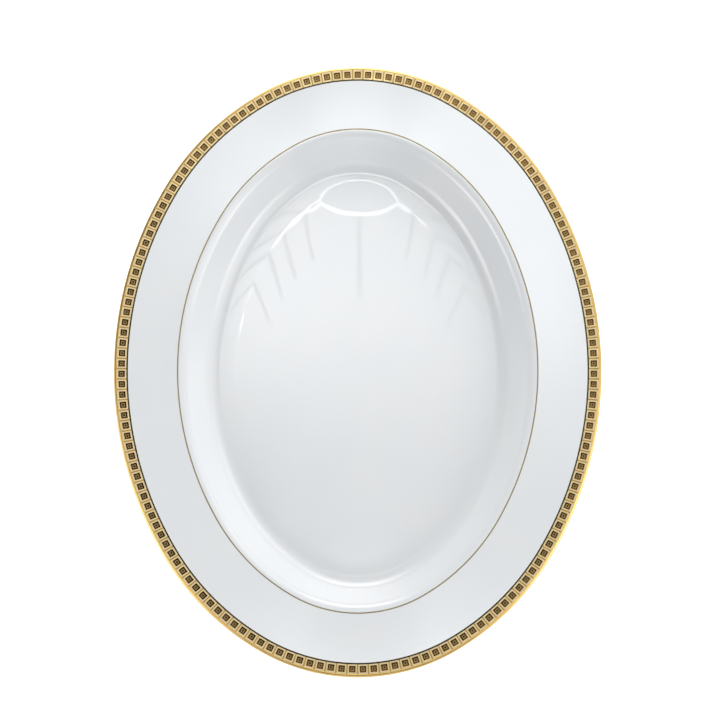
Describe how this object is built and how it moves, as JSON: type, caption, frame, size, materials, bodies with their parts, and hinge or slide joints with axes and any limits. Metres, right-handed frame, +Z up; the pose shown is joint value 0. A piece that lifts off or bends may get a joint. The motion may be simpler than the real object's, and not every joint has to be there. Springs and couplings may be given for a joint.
{
  "type": "serving platter",
  "caption": "Oval china serving platter with a raised flange, a deep flat well, a foot ring, a gold lip, an etched gold key frieze and a gold line round the well.",
  "frame": {"origin": "under the middle of the foot ring, in the plane it rests on", "axes": "+Z up; the long axis of the oval along Y, the short axis along X"},
  "size_m": [0.2992, 0.38, 0.0313],
  "materials": {
    "biscuit": "bare fired porcelain, fine matt grain",
    "glaze": "clear gloss glaze over white porcelain",
    "bright_gold": "fired gold, bright satin",
    "pale_gold": "fired gold on etched glaze, matt",
    "burnished_gold": "burnished gold, mirror bright",
    "line_gold": "thin fired line, dark and smooth"
  },
  "bodies": {
    "root": {"porcelain_body": "biscuit", "face_glaze": "glaze", "back_glaze": "glaze", "base_glaze": "glaze", "lip_gold": "bright_gold", "frieze_ground": "bright_gold", "frieze_frames": "pale_gold", "frieze_panels": "burnished_gold", "frieze_rings": "pale_gold", "frieze_studs": "burnished_gold", "border_line": "line_gold", "well_line": "bright_gold"}
  },
  "joints": []
}
